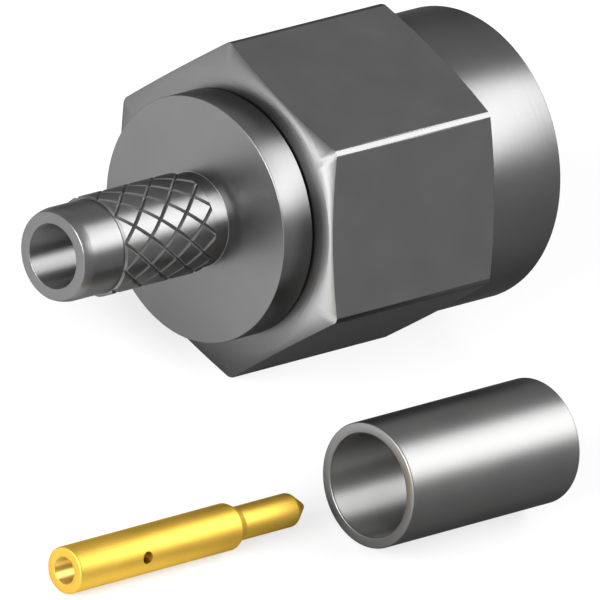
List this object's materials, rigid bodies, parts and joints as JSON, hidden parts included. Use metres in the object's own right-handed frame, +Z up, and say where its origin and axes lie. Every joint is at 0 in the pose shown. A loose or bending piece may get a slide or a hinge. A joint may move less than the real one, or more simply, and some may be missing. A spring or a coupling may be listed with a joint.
{
  "type": "sma connector",
  "caption": "Coaxial crimp plug for thin cable: hexagon coupling nut that turns on a body with a knurled crimp stem, with its loose gold contact pin and loose crimp sleeve.",
  "frame": {"origin": "middle of the hexagon flat that the plug lies on, at floor level", "axes": "+X along the plug's axis out of the threaded mouth, +Z up, +Y across"},
  "size_m": [0.0194, 0.0146, 0.008],
  "materials": {
    "nut_metal": "passivated stainless steel, fine turned",
    "body_metal": "passivated stainless steel, fine turned",
    "dielectric": "turned PTFE, waxy",
    "spring_metal": "beryllium copper spring",
    "silicone": "matt silicone rubber",
    "sleeve_metal": "nickel plated, drawn tube",
    "gold_plate": "polished gold plate"
  },
  "bodies": {
    "plug_body": {"connector_body": "body_metal", "insulator": "dielectric", "retaining_ring": "spring_metal", "gasket": "silicone", "crimp_sleeve": "sleeve_metal", "contact_pin": "gold_plate"},
    "nut": {"coupling_nut": "nut_metal"}
  },
  "joints": [
    {"name": "nut_spin", "type": "hinge", "parent": "plug_body", "child": "nut", "pos_m": [0, 0, 0.004], "axis": [1, 0, 0], "continuous": true}
  ]
}
